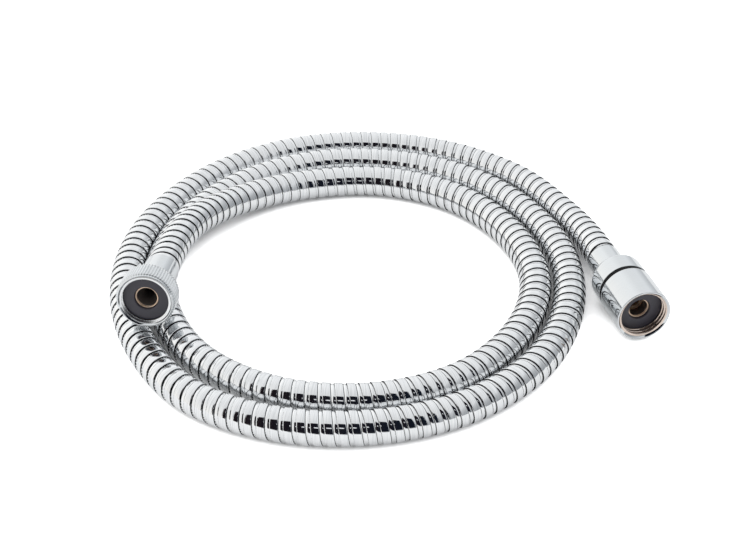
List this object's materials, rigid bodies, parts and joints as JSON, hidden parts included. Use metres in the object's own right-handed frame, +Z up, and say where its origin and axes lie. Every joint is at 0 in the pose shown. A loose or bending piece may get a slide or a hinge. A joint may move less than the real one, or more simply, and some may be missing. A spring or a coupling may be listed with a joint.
{
  "type": "shower hose",
  "caption": "Flexible strip-wound chrome shower hose lying in loose loops, with a short knurled union nut on one end and a long smooth anti-twist union nut on the other.",
  "frame": {"origin": "centre of the part's bounding box in plan, on the surface the hose lies on", "axes": "+Z up from the surface; +Y away from the camera of the picture, so both nuts open towards -Y; +X to the picture's right, towards the swivel end"},
  "size_m": [0.2383, 0.2248, 0.0392],
  "materials": {
    "casing_chrome": "bright chrome plate on rolled strip",
    "fitting_chrome": "bright chrome plate on turned brass",
    "turned_brass": "bare turned brass",
    "spring_steel": "bright drawn stainless steel",
    "black_nylon": "moulded black nylon, satin",
    "washer_rubber": "moulded black rubber, matt",
    "tube_rubber": "extruded dark grey rubber"
  },
  "bodies": {
    "hose": {"hose_casing": "casing_chrome", "inner_tube": "tube_rubber", "ferrule_a": "fitting_chrome", "insert_a": "turned_brass", "clamp_ring_a": "spring_steel", "cover_b": "fitting_chrome", "swivel_stem": "turned_brass", "clamp_ring_b": "spring_steel", "slip_ring": "black_nylon", "seal_ring_1": "washer_rubber", "seal_ring_2": "washer_rubber"},
    "knurled_nut": {"knurled_nut": "fitting_chrome", "washer_a": "washer_rubber"},
    "swivel_core": {"swivel_core": "turned_brass", "snap_ring": "spring_steel"},
    "swivel_nut": {"swivel_nut": "fitting_chrome", "washer_b": "washer_rubber"}
  },
  "joints": [
    {"name": "knurled_nut_spin", "type": "hinge", "parent": "hose", "child": "knurled_nut", "pos_m": [-0.0935, -0.02375, 0.0223], "axis": [-0.0841, -0.9815, 0.1719], "continuous": true},
    {"name": "swivel_core_spin", "type": "hinge", "parent": "hose", "child": "swivel_core", "pos_m": [0.0975, 0.00085, 0.0108], "axis": [0.2263, -0.9726, 0.0523], "continuous": true},
    {"name": "swivel_nut_spin", "type": "hinge", "parent": "swivel_core", "child": "swivel_nut", "pos_m": [0.0975, 0.00085, 0.0108], "axis": [0.2263, -0.9726, 0.0523], "continuous": true}
  ]
}
